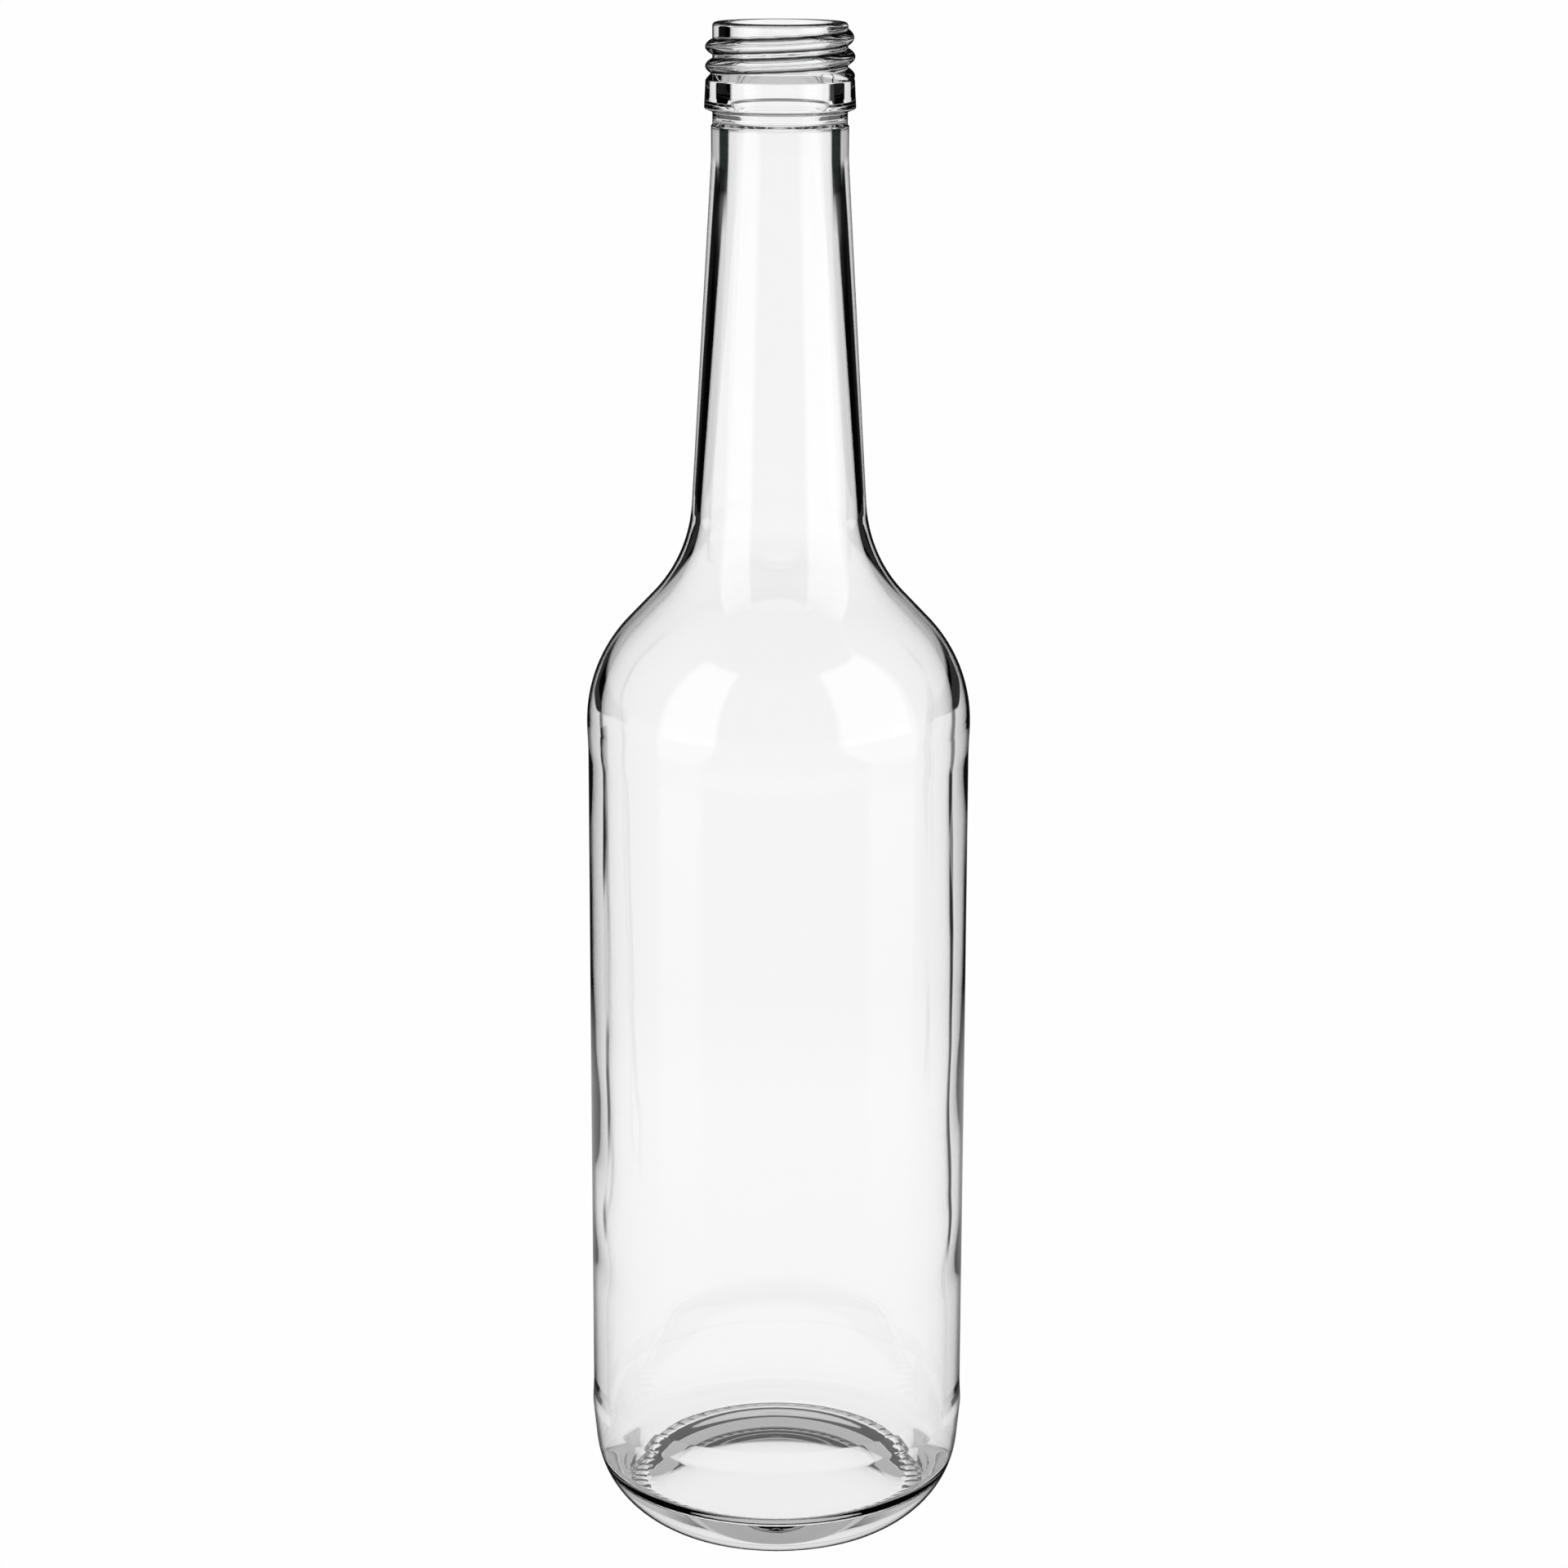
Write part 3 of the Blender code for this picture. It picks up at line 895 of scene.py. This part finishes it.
def dark_cards(tree, side, away, turned, cards):
    """Darkness of the cards that lie on the floor behind the bottle, on one side of it."""
    beside = add_node(tree, "ShaderNodeMath", MINUS, {0: side, 1: CARD_ORIGIN})
    way = add_node(tree, "ShaderNodeMath", WAY, {0: beside, 1: away})
    lag = add_node(
        tree, "ShaderNodeMapRange",
        inputs={"Value": away, "From Min": FAR_RISE[0], "From Max": FAR_WIDE,
                "To Min": FAR_LAG, "To Max": 0.0},
    )
    lagging = add_node(tree, "ShaderNodeMath", MINUS, {0: way, 1: lag})
    far = add_node(
        tree, "ShaderNodeMapRange",
        inputs={"Value": away, "From Min": FAR_RISE[0], "From Max": FAR_RISE[1]},
    )
    darkness = between(tree, lagging, FAR_CARD, CARD_SOFT)
    darkness = add_node(tree, "ShaderNodeMath", TIMES, {0: darkness, 1: far})
    darkness = add_node(tree, "ShaderNodeMath", TIMES, {0: darkness, 1: turned})
    for card in cards:
        straight = between(tree, way, card["straight"], CARD_SOFT)
        inner = between(tree, way, card["turned"], CARD_SOFT)
        met = add_node(tree, "ShaderNodeMix", NUMBERS, {"Factor": turned, "A": straight, "B": inner})
        met = add_node(tree, "ShaderNodeMath", TIMES, {0: met, 1: card["dark"]})
        reach = between(tree, away, card["reach"], REACH_SOFT)
        met = add_node(tree, "ShaderNodeMath", TIMES, {0: met, 1: reach})
        darkness = add_node(tree, "ShaderNodeMath", LARGER, {0: darkness, 1: met})
    return darkness


def lit_floor_material(finish):
    """Matt white acrylic floor, lit evenly from below, so that it shows no shadow.

    The glass alone meets what lies on it: dark cards behind the bottle, which draw the dark lines
    along the inside of its wall, and a painted contact shadow, a grey ring round the foot where the
    two touch.
    """
    material = bpy.data.materials.new("lit_white_acrylic")
    material.use_nodes = True
    tree = material.node_tree
    tree.nodes.remove(tree.nodes["Principled BSDF"])
    path = add_node(tree, "ShaderNodeLightPath")
    place = add_node(tree, "ShaderNodeTexCoord").outputs["Object"]
    split = add_node(tree, "ShaderNodeSeparateXYZ", inputs={"Vector": place})
    away = split.outputs["Y"]
    right = split.outputs["X"]
    left = add_node(tree, "ShaderNodeMath", TIMES, {0: right, 1: -1.0})
    turned = add_node(tree, "ShaderNodeMath", ABOVE, {0: path.outputs["Glossy Depth"], 1: ONCE})
    left_dark = dark_cards(tree, left, away, turned, LEFT_CARDS)
    right_dark = dark_cards(tree, right, away, turned, RIGHT_CARDS)
    cards = add_node(tree, "ShaderNodeMath", PLUS, {0: left_dark, 1: right_dark})
    # Painted contact shadow: a grey ring in the floor's glow round the foot, seen only through the
    # glass
    out = add_node(tree, "ShaderNodeVectorMath", {"operation": "LENGTH"}, {"Vector": place})
    contact = between(tree, out, PAINTED_CONTACT_SHADOW_RING, PAINTED_CONTACT_SHADOW_SOFT)
    contact = add_node(tree, "ShaderNodeMath", TIMES, {0: contact, 1: PAINTED_CONTACT_SHADOW})
    dark = add_node(tree, "ShaderNodeMath", LARGER, {0: cards, 1: contact})
    sheet = add_node(tree, "ShaderNodeMath", MINUS, {0: 1.0, 1: dark})
    sheet = add_node(tree, "ShaderNodeMath", TIMES, {0: sheet, 1: finish.background_light})
    remaining = left_over(tree, path, FLOOR_LEFT_OVER)
    glow = add_node(tree, "ShaderNodeMath", TIMES, {0: remaining, 1: sheet})
    strength = add_node(
        tree, "ShaderNodeMix", NUMBERS,
        {"Factor": path.outputs["Is Camera Ray"], "A": glow, "B": SHEET_WHITE},
    )
    lit = add_node(tree, "ShaderNodeEmission", inputs={"Strength": strength})
    tree.links.new(lit.outputs["Emission"], tree.nodes["Material Output"].inputs["Surface"])
    return material


class BOTTLE_OT_glass(bpy.types.Operator):
    """Turn, thread, knurl and close the glass, and put it in place of the plain solid"""

    bl_idname = "bottle.glass"
    bl_label = "Blow the glass"

    def execute(self, context):
        sizes = context.scene.bottle_sizes
        outside = turn_outline("glass_bottle", outside_outline(sizes))
        raise_thread(outside, sizes.thread_depth)
        press_knurls(outside, sizes.knurls)
        inside = turn_outline("inside_wall", inside_outline(sizes))
        wave_inside(inside, sizes.unevenness)
        # Painted shade for the glass colour: along the edges, on the steep flanks of the finish and
        # under the collar
        store_painted_shade(outside, "painted_edge_shade", outside_painted_shade)
        store_painted_shade(inside, "painted_edge_shade", inside_painted_shade)
        store_painted_shade(outside, "painted_flank_shade", flank_painted_shade)
        store_painted_shade(outside, "painted_throat_shade", throat_painted_shade)
        glass = close_glass(outside, inside)
        glass.data.materials.clear()
        glass.data.materials.append(soda_lime_glass(context.scene.bottle_finish))
        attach(glass, "root")
        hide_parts("bottle")
        return {"FINISHED"}


class BOTTLE_OT_stage(bpy.types.Operator):
    """Lay the pale floor and light the studio round it"""

    bl_idname = "bottle.stage"
    bl_label = "Set the stage"

    def execute(self, context):
        finish = context.scene.bottle_finish
        bpy.ops.object.select_all(action="DESELECT")
        bpy.ops.mesh.primitive_circle_add(
            vertices=FLOOR_SIDES, radius=FLOOR_RADIUS, fill_type="NGON", location=(0.0, 0.0, 0.0),
        )
        floor = context.object
        floor.name = "floor"
        floor.data.materials.append(lit_floor_material(finish))
        floor.visible_glossy = False
        floor.visible_shadow = False
        studio_world(finish)
        context.scene.view_settings.view_transform = "Standard"
        return {"FINISHED"}


class BOTTLE_OT_camera(bpy.types.Operator):
    """Put the camera where the photograph was taken from"""

    bl_idname = "bottle.camera"
    bl_label = "Place the camera"

    def execute(self, context):
        bpy.ops.object.camera_add(location=(0.0, -CAMERA_DISTANCE, CAMERA_HEIGHT))
        camera = context.object
        tilt = Matrix.Rotation(math.radians(90.0) - CAMERA_TILT, 3, "X")
        camera.rotation_euler = (tilt @ Matrix.Rotation(CAMERA_ROLL, 3, "Z")).to_euler()
        camera.data.lens = CAMERA_LENS
        camera.data.sensor_width = CAMERA_SENSOR
        camera.data.shift_x = CAMERA_SHIFT
        camera.data.clip_start = CAMERA_NEAR
        camera.data.clip_end = CAMERA_FAR
        context.scene.camera = camera
        return {"FINISHED"}


class BOTTLE_PT_panel(bpy.types.Panel):
    """Sizes, finish and making steps of the bottle"""

    bl_idname = "BOTTLE_PT_panel"
    bl_label = "Glass bottle"
    bl_space_type = "VIEW_3D"
    bl_region_type = "UI"
    bl_category = "Glass bottle"

    def draw(self, context):
        for group in (context.scene.bottle_sizes, context.scene.bottle_finish):
            for name in group.__annotations__:
                self.layout.prop(group, name)
        for step in STEPS:
            self.layout.operator(step.bl_idname)


STEPS = (BOTTLE_OT_camera, BOTTLE_OT_glass, BOTTLE_OT_stage)
CLASSES = (BottleSizes, BottleFinish, *STEPS, BOTTLE_PT_panel)


def register():
    """Register the classes and hang their properties on the scene."""
    for item in CLASSES:
        bpy.utils.register_class(item)
    bpy.types.Scene.bottle_sizes = bpy.props.PointerProperty(type=BottleSizes)
    bpy.types.Scene.bottle_finish = bpy.props.PointerProperty(type=BottleFinish)


def unregister():
    """Take the properties and the classes away again."""
    del bpy.types.Scene.bottle_finish
    del bpy.types.Scene.bottle_sizes
    for item in reversed(CLASSES):
        bpy.utils.unregister_class(item)


def main():
    """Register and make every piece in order."""
    register()
    bpy.ops.bottle.camera()
    bpy.ops.bottle.glass()
    bpy.ops.bottle.stage()


if __name__ == "__main__":
    main()
